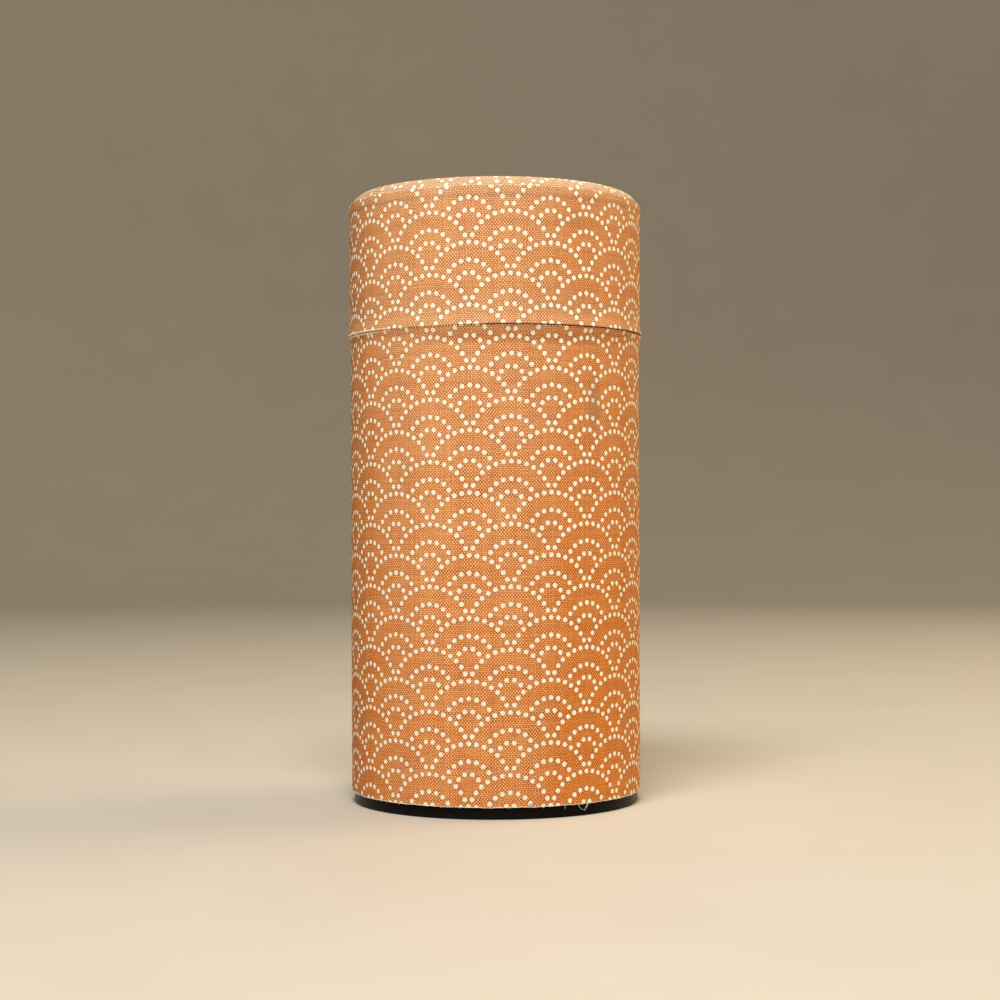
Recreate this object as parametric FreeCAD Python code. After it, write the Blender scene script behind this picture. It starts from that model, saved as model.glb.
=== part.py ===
import FreeCAD, Part
import math
import os

# Tea caddy: a tinplate canister covered in cloth, with a slip-over lid and an inner lid.
# Millimetres, +Z up, the foot stands on z = 0, the caddy's axis is Z, its front faces -Y.

# Materials
TIN = 0.28  # tinplate
CLOTH = 0.45  # printed cotton with its paper backing

# Whole caddy
HEIGHT = 158.4
BODY_R = 37.9  # cloth on the body
LID_R = 38.21  # cloth on the lid
JOINT_Z = 121.4  # middle of the gap between body and lid
JOINT_GAP = 0.3

# Flared lips at the joint, measured on the outside of the cloth
BODY_FLARE_H = 3.2
BODY_FLARE_OUT = 0.75
LID_FLARE_H = 4.4
LID_FLARE_OUT = 0.48

# Cloth
CLOTH_BOTTOM_Z = 3.05
LAP_WIDTH = 9.0  # overlap of a strip's two ends, at the back
SHOULDER_R = 4.0  # rounded top edge of the lid, outside the cloth
STRIP_TOP_Z = 155.6  # upper edge of the cloth round the lid
STRIP_SWELL = 0.19  # how far that edge stands out over the turned-down cloth of the top

# Bottom seam: five layers of tin hooked into each other
FOOT_R = 37.15
FOOT_H = 3.2
SEAM_GAP = 0.04
SEAM_CORNER = 0.4
BODY_HOOK_TOP = 2.4
END_HOOK_BOTTOM = 1.0
NECK_IN_Z = (3.5, 4.9)  # where the tube narrows towards the seam
NECK_IN_BEND = 1.0

# Bottom panel
PANEL_Z = 3.5
PANEL_R = 26.5
GROOVE_Z = 4.3
GROOVE_STEP = 1.2
PANEL_BEND = 0.8

# Neck
NECK_BOTTOM_Z = 92.0
NECK_TOP_Z = 148.0
RIM_WIDTH = 1.6
RIM_TUCK = 1.1

# Inner lid
RIM_REST = 0.05  # room between the flange and the neck's rim
MOUTH_CLEARANCE = 0.27
FLANGE_R = 36.7
FLANGE_BEND = 0.6
PAN_DEPTH = 7.0
PAN_BEND = 1.2
RING_R = (19.0, 20.2, 22.0, 23.2)  # foot, crest, crest and foot of the stiffening ring
RING_H = 0.7
RING_BEND = 0.9

# Knob and rivet
KNOB_H = 9.3
KNOB_R = 8.5
KNOB_EDGE = 1.4
KNOB_CROWN_H = 0.6
KNOB_FOOT_R = 5.2
KNOB_FOOT_H = 0.8
KNOB_WAIST_R = 3.7
KNOB_BORE_H = 5.4
RIVET_R = 1.45
RIVET_HOLE_R = 1.5
RIVET_HEAD_R = 3.0
RIVET_HEAD_H = 1.0

# Lid
LID_TUBE_TOP_Z = 154.0
SKIRT_BOTTOM_Z = 149.6
TOP_WRAP_EDGE_Z = 154.1

# Worked out from the above
BODY_LIP_Z = JOINT_Z - JOINT_GAP / 2
LID_LIP_Z = JOINT_Z + JOINT_GAP / 2
BODY_TUBE_R = BODY_R - CLOTH
LID_TUBE_R = LID_R - CLOTH
NECK_R = BODY_TUBE_R - TIN
MOUTH_R = NECK_R - RIM_WIDTH
PLATE_R = LID_TUBE_R - TIN
FLANGE_Z = NECK_TOP_Z + RIM_REST
PAN_Z = FLANGE_Z + TIN - PAN_DEPTH  # upper face of the pan's floor
SEAM_PITCH = TIN + SEAM_GAP
SMALL = 1e-6


def point(radius, height):
    return FreeCAD.Vector(radius, 0, height)


def side_edges(path, shift):
    """Edges of one face of a bent strip, shift to the left of the path along its middle."""
    places = [point(r, z) for r, z, bend in path]
    runs = [(b - a).normalize() for a, b in zip(places, places[1:])]
    lefts = [FreeCAD.Vector(-run.z, 0, run.x) for run in runs]
    edges = []
    last = places[0] + lefts[0] * shift
    for i in range(1, len(path) - 1):
        bend = path[i][2]
        turn = math.atan2(runs[i - 1].x * runs[i].z - runs[i - 1].z * runs[i].x, runs[i - 1] * runs[i])
        side = math.copysign(1, turn)
        reach = bend * math.tan(abs(turn) / 2)
        first = places[i] - runs[i - 1] * reach
        centre = first + lefts[i - 1] * side * bend
        outward = (places[i] - centre).normalize()
        begin = first + lefts[i - 1] * shift
        middle = centre + outward * (bend - side * shift)
        end = places[i] + runs[i] * reach + lefts[i] * shift
        if (begin - last).Length > SMALL:
            edges.append(Part.LineSegment(last, begin).toShape())
        edges.append(Part.Arc(begin, middle, end).toShape())
        last = end
    final = places[-1] + lefts[-1] * shift
    if (final - last).Length > SMALL:
        edges.append(Part.LineSegment(last, final).toShape())
    return edges


def strip_face(path, thickness, shift=0.0):
    """Section of a bent strip. path lists (radius, height, bend radius) along its middle line."""
    left = side_edges(path, shift + thickness / 2)
    right = side_edges(path, shift - thickness / 2)
    caps = []
    for a, b in ((left[0].firstVertex(True), right[0].firstVertex(True)),
                 (left[-1].lastVertex(True), right[-1].lastVertex(True))):
        caps.append(Part.LineSegment(a.Point, b.Point).toShape())
    return Part.Face(Part.Wire(Part.__sortEdges__(left + right + caps)))


def spun(face, start=0.0, angle=360.0):
    """The section turned about the caddy's axis, from start degrees round from +X."""
    up = FreeCAD.Vector(0, 0, 1)
    solid = face.revolve(FreeCAD.Vector(), up, angle)
    solid.rotate(FreeCAD.Vector(), up, start)
    return solid


def spun_strip(path, thickness):
    return spun(strip_face(path, thickness))


def lapped_wrap(path):
    """Cloth strip glued round a tube, twice as thick where its ends lap at the back.

    The path runs so that the outside of the cloth lies on its right.
    """
    lap = math.degrees(LAP_WIDTH / BODY_R)
    single = spun(strip_face(path, CLOTH), 90 + lap / 2, 360 - lap)
    double = spun(strip_face(path, 2 * CLOTH, -CLOTH / 2), 90 - lap / 2, lap)
    return single.fuse(double).removeSplitter().Solids[0]


def flared_lip(middle_r, thickness, outer_r, lip_z, flare_h, flare_out, up):
    """End of a wall that bells out to lip_z: a corner on the wall and the lip itself.

    All layers of one lip bend about the same circle, which the outside of the cloth sets.
    up is 1 for a lip at the top of a wall and -1 for one at its foot.
    """
    outer_bend = (flare_h ** 2 + flare_out ** 2) / (2 * flare_out)
    bend = outer_r + outer_bend - middle_r
    angle = math.asin(flare_h / (bend + thickness / 2))
    start_z = lip_z - up * flare_h
    corner = (middle_r, start_z + up * bend * math.tan(angle / 2), bend)
    lip = (middle_r + bend * (1 - math.cos(angle)), start_z + up * bend * math.sin(angle), 0)
    return [corner, lip]


def body_flare(middle_r, thickness):
    return flared_lip(middle_r, thickness, BODY_R, BODY_LIP_Z, BODY_FLARE_H, BODY_FLARE_OUT, 1)


def lid_flare(middle_r, thickness):
    return flared_lip(middle_r, thickness, LID_R, LID_LIP_Z, LID_FLARE_H, LID_FLARE_OUT, -1)


def seam_layer(count):
    """Middle radius of a layer of the bottom seam, counted inwards from the outermost."""
    return FOOT_R - TIN / 2 - count * SEAM_PITCH


def body_tube():
    """Rolled tube: hooked into the bottom seam, necked in above it, straight, flared at the lip."""
    hook, wall = seam_layer(1), seam_layer(3)
    turn = (hook - wall) / 2
    floor = TIN / 2 + SEAM_PITCH
    middle = BODY_TUBE_R - TIN / 2
    path = [(hook, BODY_HOOK_TOP, 0), (hook, floor, turn), (wall, floor, turn),
            (wall, NECK_IN_Z[0], NECK_IN_BEND), (middle, NECK_IN_Z[1], NECK_IN_BEND)]
    return spun_strip(path + body_flare(middle, TIN), TIN)


def bottom_end():
    """Pressed bottom: stepped panel, wall down to the foot, then rolled round the tube's flange."""
    outer, hook, inner = seam_layer(0), seam_layer(2), seam_layer(4)
    turn = (outer - hook) / 2
    floor, top = TIN / 2, FOOT_H - TIN / 2
    path = [(0, PANEL_Z, 0), (PANEL_R, PANEL_Z, PANEL_BEND),
            (PANEL_R + GROOVE_STEP, GROOVE_Z, PANEL_BEND), (inner, GROOVE_Z, PANEL_BEND),
            (inner, floor, SEAM_CORNER), (outer, floor, SEAM_CORNER),
            (outer, top, turn), (hook, top, turn), (hook, END_HOOK_BOTTOM, 0)]
    return spun_strip(path, TIN)


def neck_sleeve():
    """Straight sleeve with its rim curled inwards and tucked down."""
    middle = NECK_R - TIN / 2
    turn = (RIM_WIDTH - TIN) / 2
    top = NECK_TOP_Z - TIN / 2
    path = [(middle, NECK_BOTTOM_Z, 0), (middle, top, turn), (middle - 2 * turn, top, turn),
            (middle - 2 * turn, top - RIM_TUCK, 0)]
    return spun_strip(path, TIN)


def body_wrap():
    middle = BODY_R - CLOTH / 2
    return lapped_wrap([(middle, CLOTH_BOTTOM_Z, 0)] + body_flare(middle, CLOTH))


def lid_tube():
    middle = LID_TUBE_R - TIN / 2
    path = lid_flare(middle, TIN)[::-1] + [(middle, LID_TUBE_TOP_Z, 0)]
    return spun_strip(path, TIN)


def shouldered_disc(outer_r, edge_z, top_z, thickness):
    """Disc with a rounded shoulder and a skirt down to edge_z."""
    inset = thickness / 2
    bend = SHOULDER_R - (HEIGHT - top_z) - inset
    path = [(outer_r - inset, edge_z, 0), (outer_r - inset, top_z - inset, bend), (0, top_z - inset, 0)]
    return spun_strip(path, thickness)


def lid_top_plate():
    return shouldered_disc(PLATE_R, SKIRT_BOTTOM_Z, HEIGHT - CLOTH, TIN)


def lid_top_wrap():
    return shouldered_disc(PLATE_R + CLOTH, TOP_WRAP_EDGE_Z, HEIGHT, CLOTH)


def lid_side_wrap():
    """Strip round the lid: flared at its foot, lifted at its top by the cloth turned down beneath it."""
    middle = LID_R - CLOTH / 2
    swollen = middle + STRIP_SWELL
    lift_from, lift_to, lean_from = 3.0, 1.7, 1.0  # below the upper edge
    lean = 0.145
    bend = 1.5
    path = lid_flare(middle, CLOTH)[::-1] + [
        (middle, STRIP_TOP_Z - lift_from, bend), (swollen, STRIP_TOP_Z - lift_to, bend),
        (swollen, STRIP_TOP_Z - lean_from, bend), (swollen - lean, STRIP_TOP_Z, 0)]
    return lapped_wrap(path)


def inner_lid_pan():
    """Pressed pan: flange on the neck's rim, skirt into its mouth, floor with a stiffening ring."""
    skirt = MOUTH_R - MOUTH_CLEARANCE - TIN / 2
    flange, floor = FLANGE_Z + TIN / 2, PAN_Z - TIN / 2
    ring = [(r, floor + h, RING_BEND) for r, h in zip(RING_R, (0, RING_H, RING_H, 0))]
    path = [(FLANGE_R, flange, 0), (skirt, flange, FLANGE_BEND), (skirt, floor, PAN_BEND)]
    return spun_strip(path + ring[::-1] + [(RIVET_HOLE_R, floor, 0)], TIN)


def crown_arc(rim_r, rim_z, tip_z):
    """Round crown from a rim to its tip on the axis, part of a sphere centred on the axis."""
    rise = tip_z - rim_z
    ball = (rim_r ** 2 + rise ** 2) / (2 * abs(rise))
    drop = math.copysign(ball - math.sqrt(ball ** 2 - (rim_r / 2) ** 2), rise)
    return Part.Arc(point(rim_r, rim_z), point(rim_r / 2, tip_z - drop), point(0, tip_z)).toShape()


def line_edges(corners):
    return [Part.LineSegment(a, b).toShape() for a, b in zip(corners, corners[1:])]


def inner_lid_knob():
    """Turned knob: foot on the pan, hollowed waist, round-edged head with a low crown."""
    top = PAN_Z + KNOB_H
    rim_z = top - KNOB_CROWN_H
    head_r, head_z = KNOB_R - KNOB_EDGE, rim_z - 2 * KNOB_EDGE
    foot_top, bore_top = PAN_Z + KNOB_FOOT_H, PAN_Z + KNOB_BORE_H
    corners = [point(0, top), point(0, bore_top), point(RIVET_R, bore_top), point(RIVET_R, PAN_Z),
               point(KNOB_FOOT_R, PAN_Z), point(KNOB_FOOT_R, foot_top)]
    under, rim = point(head_r, head_z), point(head_r, rim_z)
    waist = point(KNOB_WAIST_R, (foot_top + head_z) / 2)
    edges = line_edges(corners)
    edges.append(Part.Arc(corners[-1], waist, under).toShape())
    edges.append(Part.Arc(under, point(KNOB_R, rim_z - KNOB_EDGE), rim).toShape())
    edges.append(crown_arc(head_r, rim_z, top))
    return spun(Part.Face(Part.Wire(edges)))


def inner_lid_rivet():
    """Round-headed rivet, its head under the pan and its shank in the knob."""
    under, tip = PAN_Z - TIN, PAN_Z + KNOB_BORE_H
    low = under - RIVET_HEAD_H
    corners = [point(0, low), point(0, tip), point(RIVET_R, tip), point(RIVET_R, under),
               point(RIVET_HEAD_R, under)]
    edges = line_edges(corners) + [crown_arc(RIVET_HEAD_R, under, low)]
    return spun(Part.Face(Part.Wire(edges)))


SUB_PARTS = (
    body_tube, bottom_end, neck_sleeve, body_wrap,
    lid_tube, lid_top_plate, lid_side_wrap, lid_top_wrap,
    inner_lid_pan, inner_lid_knob, inner_lid_rivet,
)

os.makedirs("parts", exist_ok=True)
for make in SUB_PARTS:
    shape = make()
    shape.exportStep(f"parts/{make.__name__}.step")
    box = shape.optimalBoundingBox(False)
    print(f"{make.__name__}: valid {shape.isValid()}, {shape.Volume:.0f} mm3, "
          f"z {box.ZMin:.2f} to {box.ZMax:.2f}, r {max(box.XMax, box.YMax):.2f}")
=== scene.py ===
import math

import bpy
import numpy as np
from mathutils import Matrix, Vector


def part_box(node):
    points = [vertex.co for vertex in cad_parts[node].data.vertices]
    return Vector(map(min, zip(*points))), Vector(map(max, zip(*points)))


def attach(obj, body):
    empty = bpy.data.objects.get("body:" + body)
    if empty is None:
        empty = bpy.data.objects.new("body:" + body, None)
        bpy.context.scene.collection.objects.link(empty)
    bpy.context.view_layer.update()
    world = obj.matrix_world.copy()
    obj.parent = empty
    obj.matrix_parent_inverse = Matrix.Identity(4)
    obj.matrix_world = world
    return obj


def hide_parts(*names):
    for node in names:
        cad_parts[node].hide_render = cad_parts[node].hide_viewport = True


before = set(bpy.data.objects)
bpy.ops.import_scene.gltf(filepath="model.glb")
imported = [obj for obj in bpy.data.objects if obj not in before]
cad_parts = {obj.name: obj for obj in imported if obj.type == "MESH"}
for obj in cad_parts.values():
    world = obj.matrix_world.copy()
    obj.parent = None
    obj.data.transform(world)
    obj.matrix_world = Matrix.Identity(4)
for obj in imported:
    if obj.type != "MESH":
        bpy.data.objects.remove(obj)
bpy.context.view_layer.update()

MM = 0.001
FRONT = -math.pi / 2  # direction of the caddy's front, -Y, as an angle from +X
BACK = math.pi / 2
LEFT = math.pi

# Cloth: printed cotton with its paper backing, and the lips that it follows
CLOTH = 0.45 * MM
BODY_R = 37.9 * MM
LID_R = 38.21 * MM
BODY_FLARE = (3.2 * MM, 0.75 * MM)  # height and reach outwards
LID_FLARE = (4.4 * MM, 0.48 * MM)
LAP_WIDTH = 9.0 * MM
LAP_CLIMB = 1.6 * MM  # length over which the upper end climbs onto the lower one
SHOULDER_R = 4.0 * MM
STRIP_TOP = 2.8 * MM  # upper edge of the lid's strip below the top
# The edge of the round piece lifts the strip that covers it, and above that the strip leans in again:
# how far, from how far below the strip's edge, over what height
STRIP_SWELL = (0.19 * MM, 3.2 * MM, 1.6 * MM)
STRIP_LEAN = (0.15 * MM, 1.1 * MM, 1.3 * MM)
STRIP_STEPS = 520  # points along a strip
BODY_ROWS = 1.9 * MM  # distance of the rows of points up a strip
LID_ROWS = 0.9 * MM
EDGE_ROWS = 5.0 * MM  # border in which the rows are closer
EDGE_EASE = 2.0 * MM  # how far in from an edge its unevenness dies away
EDGE_FRAY = 0.03 * MM
LIP_FRAY = 0.2  # share of that at the lips
STRIP_WAVE = 0.025 * MM
TOP_WAVE = 0.03 * MM
RAW_EDGE = 0.34 * MM  # width of the frayed border of a cut edge
RAW_LIP = 0.50 * MM  # the same at the lid's lip, where it carries its wear and the painted shade in the gap
BODY_CREASE = (0.30 * MM, 0.42 * MM)  # half width of the worn line on the body, depth below the lip
TIGHT_SIDE = FRONT - 0.85  # where the lid, a hair askew, all but touches the body
ASKEW = (0.25 * MM, 0.62)  # how far its lip comes down there, and over what angle
# where the lid's lip gets painted shade, in the dark gap over the body
GAP_SHADE_SIDE = FRONT + 1.35
LIP_WEAR = (0.45, 0.40, 1.0)  # cosine of the angle from the worst place at which it starts, growth, share
# the same for the painted shade in the gap under the lid's lip, on the right
LIP_GAP_SHADE = (0.05, 0.15, 0.6)

BODY_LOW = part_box("body_wrap")[0].z
BODY_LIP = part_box("body_wrap")[1].z
LID_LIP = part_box("lid_side_wrap")[0].z
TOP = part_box("lid_top_wrap")[1].z
TOP_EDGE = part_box("lid_top_wrap")[0].z
TOP_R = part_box("lid_top_wrap")[1].x
TOP_FLAT = TOP_R - SHOULDER_R  # the round piece from its middle: flat, bend, skirt
TOP_BEND = SHOULDER_R * math.pi / 2
TOP_SKIRT = TOP - SHOULDER_R - TOP_EDGE

# Loose threads at the front: angle, length in millimetres, first heading, whole turn, reach outwards
FRONT_THREADS = [(FRONT + 0.648, 2.3, -0.75, 0.25, 0.30), (FRONT + 0.652, 1.9, -0.50, -0.30, 0.35),
                 (FRONT + 0.570, 2.5, 0.00, 1.60, 0.30), (FRONT + 0.467, 1.1, -0.30, 0.30, 0.25)]

# Print and weave, in millimetres as in the materials: staggered waves, each of three arcs of dots about
# one centre
WAVE_PITCH = 20.56
WAVE_ROW = 7.687
# Radius, step in degrees, steps to the last dot on either side, and where the middle falls between dots
ARCS = ((10.36, 10.8, 6.0, 0.0), (6.04, 18.7, 3.0, 0.0), (2.97, 38.0, 1.5, 0.5))
LOWEST_DOT = 1.0  # all of a wave's dots lie more than this above its centre
DOT_R = 0.602
DOT_SOFT = 0.08
POOL_WIDTH = 0.38  # the dye is a little deeper along the edge of a dot
WARP_PITCH = 0.392
WEFT_PITCH = 0.453
THREAD_WANDER = 1.3  # how far threads stray from their places, in threads
WEAVE_DEPTH = 0.07 * MM
BODY_PRINT = (3.78, 0.65)  # place of one wave's centre across and up
LID_PRINT = (3.93, 123.60)
TOP_PRINT = (9.15, 13.47)
TOP_TURN = math.radians(71.7)  # how far the round piece is turned against the strip
BODY_SKEW = (0.0064, 0.0040, 58.0)  # lean of the warp, rise of the weft, height that stays in place
LID_SKEW = (0.0, 0.0036, 140.0)
# Faint stains: place across and up, half width, half height, strength
BODY_MARKS = ((26.8, 103.0, 4.2, 8.5, 0.30), (8.7, 3.8, 0.9, 0.35, 0.5),
              (-23.6, 86.0, 2.6, 3.4, 0.13), (-22.6, 61.0, 2.3, 2.6, 0.11))
LID_MARKS = ((21.3, 148.0, 3.4, 2.6, 0.26),)
TOP_MARKS = ((0.0, 0.0, 400.0, 400.0, 0.12),)  # thin dust all over
BODY_SHEEN_BANDS = ((15.0, 150.0, 0.28), (149.5, 156.5, 0.42))  # painted sheen from the lights above: heights over which the dye is paled, share
# The lid also gets a painted highlight low down, where its flare faces the light above
LID_SHEEN_BANDS = BODY_SHEEN_BANDS + ((132.0, 124.0, 0.24),)
# Painted sheen all over the round top, which faces the lights
TOP_SHEEN_BANDS = ((-200.0, -100.0, 0.92),)
# Painted sheen: the front, which faces the front lamp, is paler than the sides; its middle, and how far from
# it the dye starts to deepen and stops
SIDES = (-9.0, 14.0, 32.0)
SIDE_SHARE = 0.50
NO_SIDES = (0.0, 200.0, 300.0)  # beyond every piece
# Painted shade in the cloth's colour: a darker stretch on the left, where the light falls off, from its
# start to its end, and a painted shadow in a band under the lid's lip, by depths below the lip, with its
# middle and how far from that it starts and is full
LEFT_SHADE_SPAN = (-30.0, -50.0, -65.0, -95.0)
LIP_SHADOW_BAND = (5.1, 3.3, 2.4, 0.8)
LIP_SHADOW_SPAN = (6.0, 34.0, 14.0)
NO_LIP = 300.0  # above every piece

# How far each irregularity lightens the ground or the print, or darkens it where negative, as a share
GROUND_TONE = 0.52
GROUND_MOTTLE = 0.16
GROUND_SLUB = -0.20
GROUND_POOL = -0.22
# Painted shadow under the lid's lip, and painted shade on the left
GROUND_LIP_SHADOW = -0.24
GROUND_LEFT_SHADE = -0.20
PRINT_TONE = 0.08
# painted shadow under the lid's lip, on the print
PRINT_LIP_SHADOW = -0.08
# painted light on the dots beside the front, where less light reaches them
PRINT_SIDE_LIGHT = 0.13
CHECKER = (0.30, 0.46)  # warp against weft: least difference, and how much more in places

# Bottom panel and its groove, middle of the sheet, in millimetres
PANEL_R, PANEL_Z = 26.5, 3.5
GROOVE_STEP, GROOVE_Z = 1.2, 4.3
INSIDE_R = 35.35  # inside of the bottom seam

# Colours, as shares of red, green and blue; pairs are the darkest and the palest
DYE = ((0.655, 0.122, 0.001), (0.608, 0.335, 0.126))
ROSY_DYE = (0.66, 0.200, 0.085)
SIDE_DYE = (0.63, 0.16, 0.0)
# Pale colour towards which the painted sheen draws the dye
SHEEN_DYE = (0.61, 0.38, 0.21)
INK = ((0.85, 0.80, 0.595), (0.885, 0.845, 0.665))
UNDYED = ((0.82, 0.65, 0.46), (0.96, 0.89, 0.77))
FIBRE = ((0.62, 0.50, 0.40), (0.88, 0.80, 0.72))
# Painted shade for the gap between the lid's lip and the body
GAP_SHADE_COLOUR = (0.075, 0.022, 0.007)
STAIN = (0.22, 0.15, 0.10)
TIN = (0.70, 0.70, 0.68)
DULL_TIN = (0.56, 0.56, 0.545)
TURNED_TIN = (0.76, 0.75, 0.73)
LACQUER = ((0.004, 0.0035, 0.003), (0.020, 0.018, 0.015))
FLOOR = ((0.53, 0.465, 0.375), (0.57, 0.505, 0.415))

# Camera
FOCAL_PX = 1970.0
IMAGE_PX = 1000.0
CAMERA_AWAY = 520.0 * MM
CAMERA_UP = 73.95 * MM
CAMERA_PITCH = 0.0091
CAMERA_ROLL = 0.0032
AXIS_PX = 495.33


# Meshes


def smooth(t):
    """0 before 0, 1 after 1 and an even S between."""
    t = np.clip(t, 0, 1)
    return t * t * (3 - 2 * t)


def new_piece(name, points, faces, material, body):
    """A mesh of these points and faces, riding on a body."""
    mesh = bpy.data.meshes.new(name)
    mesh.from_pydata(points.tolist(), [], faces)
    mesh.validate()
    mesh.shade_smooth()
    mesh.materials.append(material)
    piece = bpy.data.objects.new(name, mesh)
    bpy.context.scene.collection.objects.link(piece)
    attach(piece, body)
    return piece


def lay_cloth(piece, lay, edge_mark):
    """Gives each point its place on the flat cloth, in metres, and how near it is to a cut edge.

    The nearness is 1 at a frayed edge, 0 on the face and below 0 where an edge gets painted shade.
    """
    mesh = piece.data
    corner = np.empty(len(mesh.loops), int)
    mesh.loops.foreach_get("vertex_index", corner)
    mesh.uv_layers.new(name="lay").data.foreach_set("uv", lay[corner].ravel())
    mesh.attributes.new("edge_fray_and_shade", "FLOAT", "POINT").data.foreach_set("value", edge_mark)


def grid_faces(rows, columns, closed_rows=False, closed_columns=False):
    """Quads of a grid of points numbered row by row, joined up where a direction is closed."""
    r = np.arange(rows if closed_rows else rows - 1)[:, None]
    c = np.arange(columns if closed_columns else columns - 1)[None, :]
    r2, c2 = (r + 1) % rows, (c + 1) % columns
    quads = np.stack(np.broadcast_arrays(r * columns + c, r * columns + c2, r2 * columns + c2,
                                         r2 * columns + c), axis=-1)
    return quads.reshape(-1, 4)


def edge_spaced(low, high, step, border):
    """Heights from low to high, a step apart in the middle and crowded towards both borders."""
    inner = np.linspace(low + border, high - border, max(2, round((high - low - 2 * border) / step)))
    near = border * np.linspace(0, 1, 11)[:-1] ** 2
    return np.concatenate([low + near, inner, (high - near)[::-1]])


def strip_angles(base_r):
    """Angles along a strip, from its hidden end once round to its upper end."""
    lap = LAP_WIDTH / base_r
    return np.linspace(BACK - lap / 2, BACK + 2 * math.pi + lap / 2, STRIP_STEPS)


def fraying(angles, phase):
    """Small unevenness of a cut edge: three sine waves along the angle."""
    waves = np.sin(19 * angles + phase) + np.sin(43 * angles + 3 * phase) + np.sin(113 * angles)
    return EDGE_FRAY * waves


def strip_piece(name, heights, outline, base_r, body, material, uneven, low_edge, high_edge):
    """A cloth strip glued round a tube, lapped at the back.

    The outside is a surface of revolution, radius = outline(height), carried along the angle from
    the hidden end to the upper end. The inside is the same curve moved one cloth's thickness along
    its normal. Near its upper end the radius rises by one thickness, over the hidden end, and slow
    waves of a few hundredths of a millimetre make hand-glued cloth of it. Each edge is given as two
    lists along the angles, how far it reaches past its height and how it is marked, from -1 for
    painted shade in the gap under the lid to 1 for frayed pale, then the marked border's width and
    how far in from the edge it lies.
    """
    lap = LAP_WIDTH / base_r
    angles = strip_angles(base_r)
    radii = outline(heights)
    slope = np.gradient(radii, heights)
    length = np.hypot(1, slope)
    inner_r = radii - CLOTH / length
    inner_z = heights + CLOTH * slope / length
    loop_r = np.concatenate([radii, inner_r[::-1]])
    loop_z = np.concatenate([heights, inner_z[::-1]])
    count = len(heights)

    a, r, z = angles[:, None], loop_r[None, :], loop_z[None, :]
    climb = LAP_CLIMB / base_r
    lift = CLOTH * 1.05 * smooth((angles - (BACK - lap / 2 + 2 * math.pi) + climb) / climb)[:, None]
    waves = (np.sin(3 * a + 40 * z + uneven) + np.sin(7 * a - 95 * z + 2 * uneven)) * STRIP_WAVE
    near_low = smooth(1 - (z - heights[0]) / EDGE_EASE)
    near_high = smooth(1 - (heights[-1] - z) / EDGE_EASE)
    z = z - low_edge[0][:, None] * near_low + high_edge[0][:, None] * near_high
    r = r + lift + waves * (1 - near_low) * (1 - near_high)
    points = np.stack(np.broadcast_arrays(r * np.cos(a), r * np.sin(a), z), axis=-1)

    faces = grid_faces(len(angles), 2 * count, closed_columns=True)
    first = np.arange(count - 1)
    cap = np.stack([first, first + 1, 2 * count - 2 - first, 2 * count - 1 - first], axis=-1)
    last = cap[:, ::-1] + (len(angles) - 1) * 2 * count
    piece = new_piece(name, points.reshape(-1, 3), np.concatenate([faces, cap, last]).tolist(),
                      material, body)

    across = np.broadcast_to((a - (FRONT + 2 * math.pi)) * base_r, points.shape[:2])
    up = np.broadcast_to(loop_z[None, :], points.shape[:2])
    from_end = np.minimum(angles - angles[0], angles[-1] - angles)[:, None] * base_r
    edge_mark = np.broadcast_to(np.clip(1 - from_end / RAW_EDGE, 0, 1), points.shape[:2])
    for from_edge, (_, wear_and_shade, width, inset) in ((up - heights[0], low_edge), (heights[-1] - up, high_edge)):
        edge_mark = edge_mark + wear_and_shade[:, None] * np.clip(1 - np.abs(from_edge - inset) / width, 0, 1)
    lay_cloth(piece, np.stack([across, up], axis=-1).reshape(-1, 2), np.clip(edge_mark, -1, 1).ravel())
    return piece


def flare_reach(depth, flare):
    """How far a lip stands out at a depth below or above its start: part of a circle."""
    height, out = flare
    bend = (height ** 2 + out ** 2) / (2 * out)
    depth = np.clip(depth, 0, height)
    return bend - np.sqrt(bend ** 2 - depth ** 2)


def body_outline(z):
    """Straight wall that bells out to the lip."""
    return BODY_R + flare_reach(z - (BODY_LIP - BODY_FLARE[0]), BODY_FLARE)


def lid_outline(z):
    """Straight wall, belled out at its foot and lifted at its top by the cloth turned in under it."""
    edge = TOP - STRIP_TOP
    swell, lean = (far * smooth((z - edge + below) / rise) for far, below, rise in (STRIP_SWELL, STRIP_LEAN))
    return LID_R + flare_reach(LID_LIP + LID_FLARE[0] - z, LID_FLARE) + swell - lean


def lip_mark(angles, worst, use):
    """How strongly wear or painted shade shows along a lip: an even S of the cosine of the angle from where
    it is strongest.
    """
    start, growth, share = use
    return share * smooth((np.cos(angles - worst) - start) / growth)


def make_body_cloth(material):
    """Strip on the body's outline: frayed at its foot, with a worn line just below the lip."""
    heights = edge_spaced(BODY_LOW, BODY_LIP, BODY_ROWS, EDGE_ROWS)
    angles = strip_angles(BODY_R)
    low_edge = (fraying(angles, 0.7), np.full_like(angles, 1.0), RAW_EDGE, 0.0)
    lip_edge = (LIP_FRAY * fraying(angles, 1.4), 0.9 * lip_mark(angles, LEFT, LIP_WEAR), *BODY_CREASE)
    return strip_piece("body_cloth", heights, body_outline, BODY_R, "caddy_body", material, 0.7,
                       low_edge, lip_edge)


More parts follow.
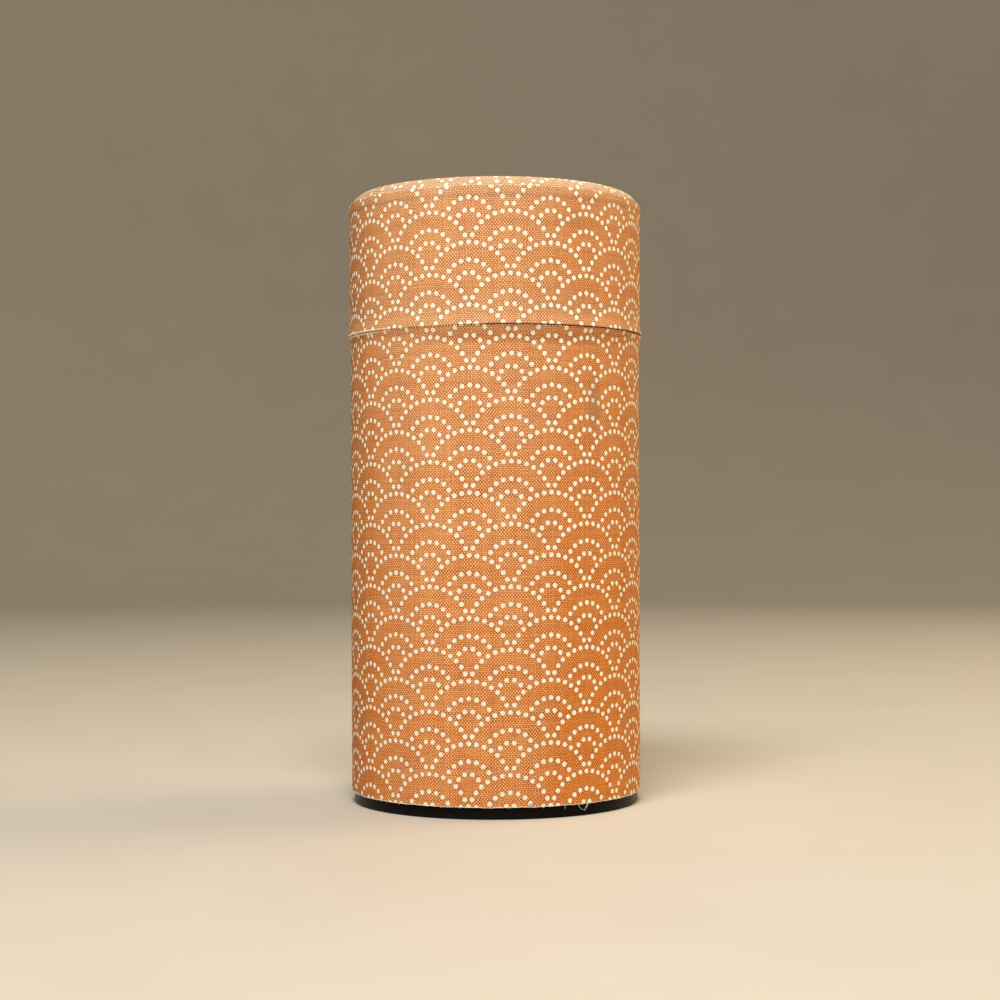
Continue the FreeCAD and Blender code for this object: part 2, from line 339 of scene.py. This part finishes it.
def make_lid_side_cloth(material):
    """Strip on the lid's outline. Its lip is a bell curve lower where the lid is askew."""
    heights = edge_spaced(LID_LIP, TOP - STRIP_TOP, LID_ROWS, EDGE_ROWS)
    angles = strip_angles(LID_R)
    dip, spread = ASKEW
    askew = dip * np.exp(-((angles - TIGHT_SIDE - 2 * math.pi) / spread) ** 2)
    # Pale wear at the left, painted shade in the gap on the right
    wear_and_shade = lip_mark(angles, LEFT, LIP_WEAR) - lip_mark(angles, GAP_SHADE_SIDE, LIP_GAP_SHADE)
    lip_edge = (askew + LIP_FRAY * fraying(angles, 2.1), wear_and_shade, RAW_LIP, 0.0)
    top_edge = (fraying(angles, 3.3), np.full_like(angles, 0.5), RAW_EDGE, 0.0)
    return strip_piece("lid_side_cloth", heights, lid_outline, LID_R, "lid", material, 2.1,
                       lip_edge, top_edge)


def make_lid_top_cloth(material):
    """The round piece on the lid: a flat disc, a quarter circle over the shoulder, a short skirt.

    The distance along the cloth from its middle and the angle are the two parameters. The inside is
    the same curve one thickness in. The first ring of each face is drawn together to one point.
    """
    along = np.concatenate([np.linspace(0, TOP_FLAT, 40)[1:-1], TOP_FLAT + TOP_BEND * np.linspace(0, 1, 26),
                            TOP_FLAT + TOP_BEND + TOP_SKIRT * np.linspace(0, 1, 4)[1:]])
    bend = np.clip((along - TOP_FLAT) / SHOULDER_R, 0, math.pi / 2)
    outer_r = np.minimum(along, TOP_FLAT) + SHOULDER_R * np.sin(bend)
    outer_z = TOP - SHOULDER_R * (1 - np.cos(bend)) - np.maximum(along - TOP_FLAT - TOP_BEND, 0)
    loop_r = np.concatenate([outer_r, (outer_r - CLOTH * np.sin(bend))[::-1]])
    loop_z = np.concatenate([outer_z, (outer_z - CLOTH * np.cos(bend))[::-1]])
    loop_along = np.concatenate([along, along[::-1]])
    count, turns = len(loop_r), 360
    a = np.arange(turns)[:, None] * 2 * math.pi / turns
    waves = np.sin(5 * a + 150 * loop_r) * np.sin(160 * loop_r) * (loop_along < TOP_FLAT) - 1
    grid = np.stack(np.broadcast_arrays(loop_r * np.cos(a), loop_r * np.sin(a), loop_z + TOP_WAVE * waves),
                    axis=-1)
    middle = np.array([[0, 0, TOP - TOP_WAVE], [0, 0, TOP - CLOTH - TOP_WAVE]])
    points = np.concatenate([grid.reshape(-1, 3), middle])
    faces = grid_faces(turns, count, closed_rows=True).tolist()
    spoke = np.arange(turns) * count
    next_spoke = np.roll(spoke, -1)
    hub = np.full(turns, turns * count)
    top_fan = np.stack([hub, spoke, next_spoke], axis=-1)
    low_fan = np.stack([hub + 1, next_spoke + count - 1, spoke + count - 1], axis=-1)
    piece = new_piece("lid_top_cloth", points, faces + top_fan.tolist() + low_fan.tolist(), material,
                      "lid")
    turned = a - TOP_TURN
    lay = np.stack([loop_along * np.cos(turned), loop_along * np.sin(turned)], axis=-1).reshape(-1, 2)
    lay_cloth(piece, np.concatenate([lay, np.zeros((2, 2))]), np.zeros(len(points)))
    return piece


def make_threads(name, edge_r, edge_z, hanging, body, material):
    """Loose threads at a cut edge, as thin tubes along plane curves laid round the caddy.

    A thread starts at an angle on the edge with a heading, and the heading turns evenly along its
    length, which makes an arc or a loop of it. hanging lists angle, length, first heading from
    straight down, whole turn, and how far its end stands away from the wall; lengths in millimetres.
    """
    steps, sides, thread_r, tuck = 28, 6, 0.055 * MM, 0.15 * MM
    angle, length, heading, turn, away = (np.array(part)[:, None] for part in zip(*hanging))
    t = np.linspace(0, 1, steps)[None, :]
    facing = heading + turn * t
    pace = length * MM / (steps - 1)
    aside = np.cumsum(np.sin(facing), axis=1) * pace
    down = np.cumsum(np.cos(facing), axis=1) * pace - tuck
    path_a = angle + aside / edge_r
    path_r = edge_r + (away * smooth(t * 0.8) - 0.1) * MM
    path = np.stack([path_r * np.cos(path_a), path_r * np.sin(path_a), edge_z - down], axis=-1)
    along = np.gradient(path, axis=1)
    along /= np.linalg.norm(along, axis=-1, keepdims=True)
    out = np.stack([np.cos(path_a), np.sin(path_a), np.zeros_like(path_a)], axis=-1)
    first = np.cross(along, out)
    first /= np.linalg.norm(first, axis=-1, keepdims=True)
    second = np.cross(along, first)
    round_a = np.arange(sides)[:, None] * 2 * math.pi / sides
    girth = thread_r * (1 - 0.6 * t[0])[None, :, None, None]
    ring = np.cos(round_a) * first[:, :, None, :] + np.sin(round_a) * second[:, :, None, :]
    points = path[:, :, None, :] + girth * ring
    tube = grid_faces(steps, sides, closed_columns=True)
    starts = np.arange(len(hanging))[:, None, None] * steps * sides
    faces = (tube[None] + starts).reshape(-1, 4).tolist()
    ends = np.arange(sides)[None, :] + np.array([0, (steps - 1) * sides])[:, None]
    faces += (ends[None] + starts).reshape(-1, sides).tolist()
    return new_piece(name, points.reshape(-1, 3), faces, material, body)


def fuzz(count, seed, reach):
    """Short stray fibres all round an edge, as make_threads takes them, from a fixed seed."""
    lots = np.random.default_rng(seed)
    return np.stack([lots.uniform(0, 2 * math.pi, count), lots.uniform(0.3, 1.0, count) * reach,
                     lots.uniform(-0.9, 0.9, count), lots.uniform(-2.2, 2.2, count),
                     lots.uniform(0.05, 0.35, count)], axis=-1).tolist()


# Materials


class Field:
    """A number that varies over a surface. Arithmetic on it adds Math nodes to the material."""

    def __init__(self, tree, socket):
        self.tree = tree
        self.socket = socket

    def work(self, operation, *others):
        node = self.tree.nodes.new("ShaderNodeMath")
        node.operation = operation
        for place, value in zip(node.inputs, (self, *others)):
            set_socket(self.tree, place, value)
        return Field(self.tree, node.outputs[0])

    def __add__(self, other):
        return self.work("ADD", other)

    def __sub__(self, other):
        return self.work("SUBTRACT", other)

    def __mul__(self, other):
        return self.work("MULTIPLY", other)

    def __truediv__(self, other):
        return self.work("DIVIDE", other)

    def floor(self):
        return self.work("FLOOR")

    def clamped(self, low, high):
        return self.work("MAXIMUM", low).work("MINIMUM", high)

    def wrapped(self, size):
        return self.work("FLOORED_MODULO", size)

    def between(self, other, share):
        """This at share 0, other at share 1."""
        return self + (other - self) * share

    def swing(self, share):
        """Level that is 1 where this is 0 and changes with it by a share."""
        return self * share + 1.0

    def ramp(self, start, end):
        """0 at start, 1 at end, with an even S between; start may be the greater."""
        node = self.tree.nodes.new("ShaderNodeMapRange")
        node.interpolation_type = "SMOOTHSTEP"
        for place, value in zip(node.inputs, (self, start, end, 0.0, 1.0)):
            set_socket(self.tree, place, value)
        return Field(self.tree, node.outputs[0])

    def band(self, start, full, last, end):
        """1 from full to last, 0 before start and after end, with an even S on either side."""
        return self.ramp(start, full) * self.ramp(end, last)

    def away_from(self, middle, start, end):
        """Ramp of the distance from a middle, alike on both sides of it."""
        return (self - middle).work("ABSOLUTE").ramp(start, end)


def set_socket(tree, socket, value):
    """Links a field to a socket, or gives it a constant."""
    if isinstance(value, Field):
        tree.links.new(value.socket, socket)
    else:
        socket.default_value = value


class Finish:
    """A material under way: its coordinates, textures and colours."""

    def __init__(self, name):
        self.material = bpy.data.materials.new(name)
        self.material.use_nodes = True
        self.tree = self.material.node_tree
        self.shader = self.tree.nodes["Principled BSDF"]

    def add(self, kind):
        return self.tree.nodes.new(kind)

    def parts_of(self, socket):
        node = self.add("ShaderNodeSeparateXYZ")
        self.tree.links.new(socket, node.inputs[0])
        return [Field(self.tree, out) for out in node.outputs]

    def place(self):
        """Object coordinates in millimetres."""
        return [part * 1000.0 for part in self.parts_of(self.add("ShaderNodeTexCoord").outputs["Object"])]

    def lay(self):
        """Place on the flat cloth in millimetres."""
        node = self.add("ShaderNodeUVMap")
        node.uv_map = "lay"
        return [part * 1000.0 for part in self.parts_of(node.outputs[0])[:2]]

    def attribute(self, name):
        node = self.add("ShaderNodeAttribute")
        node.attribute_name = name
        return Field(self.tree, node.outputs["Fac"])

    def vector(self, *parts):
        node = self.add("ShaderNodeCombineXYZ")
        for place, value in zip(node.inputs, parts):
            set_socket(self.tree, place, value)
        return node.outputs[0]

    def noise(self, *parts, detail=2.0):
        node = self.add("ShaderNodeTexNoise")
        node.inputs["Scale"].default_value = 1.0
        node.inputs["Detail"].default_value = detail
        self.tree.links.new(self.vector(*parts), node.inputs["Vector"])
        return Field(self.tree, node.outputs["Fac"])

    def lot(self, number):
        """A random number from 0 to 1 for each value of a whole-numbered field."""
        node = self.add("ShaderNodeTexWhiteNoise")
        node.noise_dimensions = "1D"
        set_socket(self.tree, node.inputs["W"], number)
        return Field(self.tree, node.outputs["Value"])

    def mixed(self, share, first, second):
        """Colour between two colours, each a tuple or a socket."""
        node = self.add("ShaderNodeMix")
        node.data_type = "RGBA"
        set_socket(self.tree, node.inputs[0], share)
        for place, colour in ((node.inputs[6], first), (node.inputs[7], second)):
            if isinstance(colour, tuple):
                place.default_value = (*colour, 1.0)
            else:
                self.tree.links.new(colour, place)
        return node.outputs[2]

    def lit(self, colour, level):
        """A colour times a varying level."""
        node = self.add("ShaderNodeVectorMath")
        node.operation = "SCALE"
        self.tree.links.new(colour, node.inputs[0])
        set_socket(self.tree, node.inputs["Scale"], level)
        return node.outputs[0]

    def blot(self, across, up, mark):
        """Share of a soft-edged spot at a point of the cloth."""
        middle, level, half_width, half_height, share = mark
        aside = (across - middle) / half_width
        above = (up - level) / half_height
        ragged = (self.noise(across * 0.5, up * 0.5, 21.0) - 0.5) * 0.9
        return ((aside * aside + above * above).work("SQRT") + ragged).ramp(1.15, 0.1) * share

    def wear(self, colour, roughness, height, depth, strength):
        """Gives the shader its colour, roughness and relief. The depth of the relief is in metres."""
        self.tree.links.new(colour, self.shader.inputs["Base Color"])
        set_socket(self.tree, self.shader.inputs["Roughness"], roughness)
        bump = self.add("ShaderNodeBump")
        bump.inputs["Strength"].default_value = strength
        bump.inputs["Distance"].default_value = depth
        set_socket(self.tree, bump.inputs["Height"], height)
        self.tree.links.new(bump.outputs[0], self.shader.inputs["Normal"])
        return self.material

    def constant(self, **values):
        for name, value in values.items():
            self.shader.inputs[name.replace("_", " ")].default_value = value


def dot_distance(across, up, print_place):
    """Distance to the middle of the nearest printed dot.

    The waves stand in rows, every other row moved by half a wave. All of a wave's dots lie above its
    centre, so only the row just below the point and the one under that can hold the nearest one.
    """
    centre_across, centre_up = print_place
    row = ((up - (centre_up + LOWEST_DOT)) / WAVE_ROW).floor()
    nearest = None
    for rows_down in (0.0, 1.0):
        this_row = row - rows_down
        y = up - centre_up - this_row * WAVE_ROW
        shift = this_row.wrapped(2.0) * (WAVE_PITCH / 2)
        x = (across - shift - (centre_across - WAVE_PITCH / 2)).wrapped(WAVE_PITCH) - WAVE_PITCH / 2
        angle = x.work("ARCTAN2", y)
        for radius, step, last, offset in ARCS:
            step = math.radians(step)
            turn = (((angle / step - offset).work("ROUND")) + offset).clamped(-last, last) * step
            dx = x - turn.work("SINE") * radius
            dy = y - turn.work("COSINE") * radius
            distance = (dx * dx + dy * dy).work("SQRT")
            nearest = distance if nearest is None else nearest.work("MINIMUM", distance)
    return nearest


def weave(cloth, across, up):
    """Plain weave: warp ends and weft picks that pass over each other in turn.

    Across a thread the height is the root of half a sine wave, and along it the thread dips where it
    goes under. Gives the height, each thread's own tone about 0, the thick places of the weft, and 1
    where the weft is on top.
    """
    drift = cloth.noise(across * 0.16, up * 0.5, 3.0, detail=1.0) - 0.5
    sway = cloth.noise(across * 0.5, up * 0.16, 9.0, detail=1.0) - 0.5
    warp = across / WARP_PITCH + drift * THREAD_WANDER
    weft = up / WEFT_PITCH + sway * THREAD_WANDER
    end, pick = warp.floor(), weft.floor()
    over_warp = ((warp - end) * math.pi).work("SINE")
    over_weft = ((weft - pick) * math.pi).work("SINE")
    weft_on_top = (end + pick).wrapped(2.0)
    warp_height = over_warp.work("SQRT") * (over_weft * 0.65 + 0.35)
    weft_height = over_weft.work("SQRT") * (over_warp * 0.65 + 0.35)
    height = warp_height.between(weft_height, weft_on_top)
    warp_tone = cloth.lot(end) * 0.5 + cloth.noise(end * 7.3, up * 0.45, 0.0)
    weft_tone = cloth.lot(pick + 0.37) * 0.5 + cloth.noise(across * 0.45, pick * 5.9, 4.0)
    tone = warp_tone.between(weft_tone, weft_on_top) - 0.75
    slub = cloth.noise(across * 0.16, pick * 3.7, 12.0, detail=0.0).ramp(0.70, 0.80) * weft_on_top
    return height, tone, slub, weft_on_top


def printed_cotton(name, print_place, skew=(0.0, 0.0, 0.0), marks=(), sheen_bands=(), lip=NO_LIP, sides=NO_SIDES):
    """Woven cotton: orange ground, off-white dots, undyed where it is cut, faint stains in places, and
    painted sheen, shade and shadow.
    """
    cloth = Finish(name)
    flat_across, flat_up = cloth.lay()
    lean, rise, still = skew
    across = flat_across - (flat_up - still) * lean
    up = flat_up - flat_across * rise
    height, tone, slub, weft_on_top = weave(cloth, across, up)
    mottle = cloth.noise(across * 0.09, up * 0.09, 1.0, detail=3.0) - 0.5

    ragged = tone * 0.16 + (cloth.noise(across * 2.2, up * 2.2, 0.0) - 0.5) * 0.3
    from_dot = dot_distance(across, up, print_place) + ragged
    dots = from_dot.ramp(DOT_R + DOT_SOFT, DOT_R - DOT_SOFT)
    pooled = from_dot.ramp(DOT_R + POOL_WIDTH, DOT_R)
    raw_noise = cloth.noise(across * 2.6, up * 2.6, 7.0)
    edge = cloth.attribute("edge_fray_and_shade")
    edge_mark = (edge + (raw_noise - 0.5) * 0.9).ramp(0.34, 0.70)
    # Painted shade where the edge value is below 0: the gap under the lid's lip
    gap_shade = edge.ramp(-0.1, -0.7)

    least, more = CHECKER
    checker = cloth.noise(across * 0.3, up * 0.3, 17.0).ramp(0.30, 0.70) * more + least
    thread_light = tone * GROUND_TONE - (weft_on_top - 0.5) * checker + 0.985
    # Painted shade in the gaps between threads and painted highlight on their crowns: the ground is darker
    # and deeper in colour where the threads lie low
    crown = height * (height * -0.7 + 1.7)
    ground_level = thread_light * (crown * 1.36 + 0.05)
    ground_level = ground_level * mottle.swing(GROUND_MOTTLE) * slub.swing(GROUND_SLUB)
    # Painted shadow in a band under the lid's lip, strongest near the front middle
    lip_shadow = flat_up.band(*(lip - depth for depth in LIP_SHADOW_BAND)) * flat_across.away_from(*LIP_SHADOW_SPAN)
    ground_level = ground_level * pooled.swing(GROUND_POOL) * lip_shadow.swing(GROUND_LIP_SHADOW)
    paleness = ground_level - 0.5 + mottle * 0.25
    dyed = cloth.mixed(paleness, *DYE)
    rosy = cloth.noise(across * 0.42, up * 0.42, 30.0, detail=3.0).ramp(0.42, 0.66) * 0.30
    dyed = cloth.mixed(rosy, dyed, ROSY_DYE)
    # Painted sheen on the front: away from its middle the dye deepens and the dots get painted light
    beside = flat_across.away_from(*sides)
    # Painted shade on the far left, where the light falls off
    left_shade = flat_across.band(*LEFT_SHADE_SPAN) * beside
    dyed = cloth.mixed(beside * SIDE_SHARE, dyed, SIDE_DYE)
    # Painted sheen: the dye paled over each band of heights
    for low, high, share in sheen_bands:
        dyed = cloth.mixed(flat_up.ramp(low, high) * share, dyed, SHEEN_DYE)
    ground = cloth.lit(dyed, ground_level * left_shade.swing(GROUND_LEFT_SHADE))
    # The print, and the undyed edge below, get painted shade where the threads lie low
    print_level = tone.swing(PRINT_TONE) * (height * 0.14 + 0.90)
    # Print: painted shadow under the lid's lip, and painted light beside the front
    print_level = print_level * lip_shadow.swing(PRINT_LIP_SHADOW) * beside.swing(PRINT_SIDE_LIGHT)
    ink = cloth.lit(cloth.mixed(mottle + 0.5, *INK), print_level)
    undyed = cloth.lit(cloth.mixed(raw_noise, *UNDYED), height * 0.2 + 0.85)
    colour = cloth.mixed(edge_mark, cloth.mixed(dots, ground, ink), undyed)
    colour = cloth.mixed(gap_shade, colour, GAP_SHADE_COLOUR)
    for mark in marks:
        colour = cloth.mixed(cloth.blot(flat_across, flat_up, mark), colour, STAIN)
    cloth.constant(Specular_IOR_Level=0.10)
    return cloth.wear(colour, tone * -0.1 + 0.52, height + slub * 0.4, WEAVE_DEPTH, 0.7)


def loose_cotton():
    """Undyed fibres."""
    fibre = Finish("loose_cotton")
    x, y, z = fibre.place()
    strand = fibre.noise(x * 3.0, y * 3.0, z * 3.0)
    colour = fibre.mixed(strand, *FIBRE)
    fibre.constant(Specular_IOR_Level=0.1)
    return fibre.wear(colour, strand * 0.1 + 0.8, strand, 0.01 * MM, 0.3)


def tinplate(name, grain, tint=TIN, seamed=False):
    """Bright tin with rolling lines. grain is how quickly the lines change along x, y and z.

    A rolled tube has its side seam at the back: a dull line with a soft step beside it.
    """
    tin = Finish(name)
    x, y, z = tin.place()
    lines = tin.noise(x * grain[0], y * grain[1], z * grain[2], detail=3.0)
    cloud = tin.noise(x * 0.11, y * 0.11, z * 0.11, detail=4.0)
    dull = tuple(part * 0.80 for part in tint)
    shade = lines * 0.5 + cloud * 0.5
    relief = lines
    if seamed:
        behind = y.ramp(0.0, 5.0)
        edge = x.work("ABSOLUTE")
        shade = shade - edge.ramp(0.7, 0.25) * behind * 0.8
        relief = relief + x.ramp(-0.3, 0.3) * x.ramp(6.0, 3.0) * behind * 4.0
    colour = tin.mixed(shade, dull, tint)
    tin.constant(Metallic=1.0)
    return tin.wear(colour, lines * 0.16 + cloud * 0.16 + 0.13, relief, 0.02 * MM, 0.25)


def black_lacquer():
    """Glossy black over tin on the outside of the bottom, bare tin on its inside."""
    paint = Finish("black_lacquer")
    x, y, z = paint.place()
    radius = (x * x + y * y).work("SQRT")
    sheet_z = ((radius - PANEL_R) / GROOVE_STEP).clamped(0.0, 1.0) * (GROOVE_Z - PANEL_Z) + PANEL_Z
    bare = (z - sheet_z).ramp(-0.03, 0.03) * radius.ramp(INSIDE_R + 0.05, INSIDE_R - 0.05)
    peel = paint.noise(x * 0.9, y * 0.9, z * 0.9)
    scuff = paint.noise(x * 0.5, y * 0.5, z * 4.0, detail=5.0)
    colour = paint.mixed(scuff.ramp(0.55, 0.85), *LACQUER)
    tin = paint.mixed(scuff, DULL_TIN, TIN)
    paint.constant(Specular_IOR_Level=0.07)
    set_socket(paint.tree, paint.shader.inputs["Metallic"], bare)
    return paint.wear(paint.mixed(bare, colour, tin), scuff * 0.22 + 0.20, peel, 0.03 * MM, 0.2)


def pale_floor():
    """Plain pale floor, faintly mottled."""
    floor = Finish("pale_floor")
    x, y, z = floor.place()
    grain = floor.noise(x * 0.02, y * 0.02, z * 0.02, detail=4.0)
    colour = floor.mixed(grain, *FLOOR)
    return floor.wear(colour, grain * 0.1 + 0.6, grain, 0.05 * MM, 0.1)


# Stage


def make_stage():
    """Round floor with a wall: a straight run, a quarter circle and a rise, turned about the axis."""
    bend, reach, rise, turns = 0.7, 1.9, 3.0, 96
    turn = np.linspace(0, math.pi / 2, 24)
    r = np.concatenate([[MM], reach - bend + bend * np.sin(turn), [reach]])
    z = np.concatenate([[0.0], bend * (1 - np.cos(turn)), [rise]])
    a = np.arange(turns)[:, None] * 2 * math.pi / turns
    points = np.stack(np.broadcast_arrays(r * np.cos(a), r * np.sin(a), z), axis=-1).reshape(-1, 3)
    mesh = bpy.data.meshes.new("backdrop")
    mesh.from_pydata(points.tolist(), [], grid_faces(turns, len(r), closed_rows=True).tolist())
    mesh.shade_smooth()
    mesh.materials.append(pale_floor())
    backdrop = bpy.data.objects.new("backdrop", mesh)
    bpy.context.scene.collection.objects.link(backdrop)


def area_lamp(name, place, target, size, watts, colour=(1.0, 1.0, 1.0)):
    """Rectangular lamp turned towards a target."""
    lamp = bpy.data.lights.new(name, "AREA")
    lamp.shape = "RECTANGLE"
    lamp.size, lamp.size_y = size
    lamp.energy = watts
    lamp.color = colour
    item = bpy.data.objects.new(name, lamp)
    bpy.context.scene.collection.objects.link(item)
    item.location = place
    aim = item.location.copy()
    aim.x, aim.y, aim.z = target
    item.rotation_euler = (aim - item.location).to_track_quat("-Z", "Y").to_euler()


def make_lights():
    """Soft light from the front and above, a little from behind, warm from the right."""
    middle = (0.0, 0.0, 0.08)
    area_lamp("front_lamp", (-0.11, -0.66, 1.00), middle, (0.6, 0.4), 17.3)
    area_lamp("back_lamp", (0.30, 0.75, 1.05), middle, (0.9, 0.6), 2.2)
    area_lamp("right_lamp", (0.82, 0.28, 0.78), middle, (0.6, 0.8), 6.9, (1.0, 0.81, 0.44))
    world = bpy.data.worlds.new("studio")
    bpy.context.scene.world = world
    world.use_nodes = True
    background = world.node_tree.nodes["Background"]
    background.inputs["Color"].default_value = (1.0, 0.92, 0.80, 1.0)
    background.inputs["Strength"].default_value = 0.03


def make_camera():
    """Photograph's view: level with the middle of the caddy, tipped up and rolled a little."""
    lens = bpy.data.cameras.new("camera")
    lens.sensor_width = 36.0
    lens.lens = lens.sensor_width * FOCAL_PX / IMAGE_PX
    camera = bpy.data.objects.new("camera", lens)
    bpy.context.scene.collection.objects.link(camera)
    camera.location = (0.0, -CAMERA_AWAY, CAMERA_UP)
    aside = math.atan((IMAGE_PX / 2 - AXIS_PX) / FOCAL_PX)
    camera.rotation_euler = (math.pi / 2 + CAMERA_PITCH, CAMERA_ROLL, -aside)
    bpy.context.scene.camera = camera


def dress_cad_nodes():
    """Tin and lacquer on the metal parts."""
    around = tinplate("tinplate_rolled", (0.03, 0.03, 9.0), seamed=True)
    across = tinplate("tinplate_flat", (0.05, 7.0, 0.05))
    turned = tinplate("polished_tin", (0.2, 0.2, 6.0), TURNED_TIN)
    finishes = {
        "body_tube": around, "neck_sleeve": around, "lid_tube": around, "lid_top_plate": across,
        "inner_lid_pan": across, "inner_lid_knob": turned, "inner_lid_rivet": turned,
        "bottom_end": black_lacquer(),
    }
    for node, material in finishes.items():
        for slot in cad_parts[node].material_slots:
            slot.material = material


make_camera()
make_stage()
make_lights()
dress_cad_nodes()

body_print = printed_cotton("body_print", BODY_PRINT, BODY_SKEW, BODY_MARKS, BODY_SHEEN_BANDS,
                            BODY_LIP / MM, SIDES)
body_cloth = make_body_cloth(body_print)
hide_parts("body_wrap")
lid_print = printed_cotton("lid_print", LID_PRINT, LID_SKEW, LID_MARKS, LID_SHEEN_BANDS, sides=SIDES)
lid_side_cloth = make_lid_side_cloth(lid_print)
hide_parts("lid_side_wrap")
top_print = printed_cotton("lid_top_print", TOP_PRINT, marks=TOP_MARKS, sheen_bands=TOP_SHEEN_BANDS)
lid_top_cloth = make_lid_top_cloth(top_print)
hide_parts("lid_top_wrap")

cotton = loose_cotton()
make_threads("body_threads", BODY_R, BODY_LOW, FRONT_THREADS + fuzz(110, 5, 0.55), "caddy_body", cotton)
make_threads("lid_threads", LID_R + LID_FLARE[1], LID_LIP - 0.1 * MM, fuzz(70, 8, 0.4), "lid", cotton)

bpy.context.scene.view_settings.view_transform = "Standard"
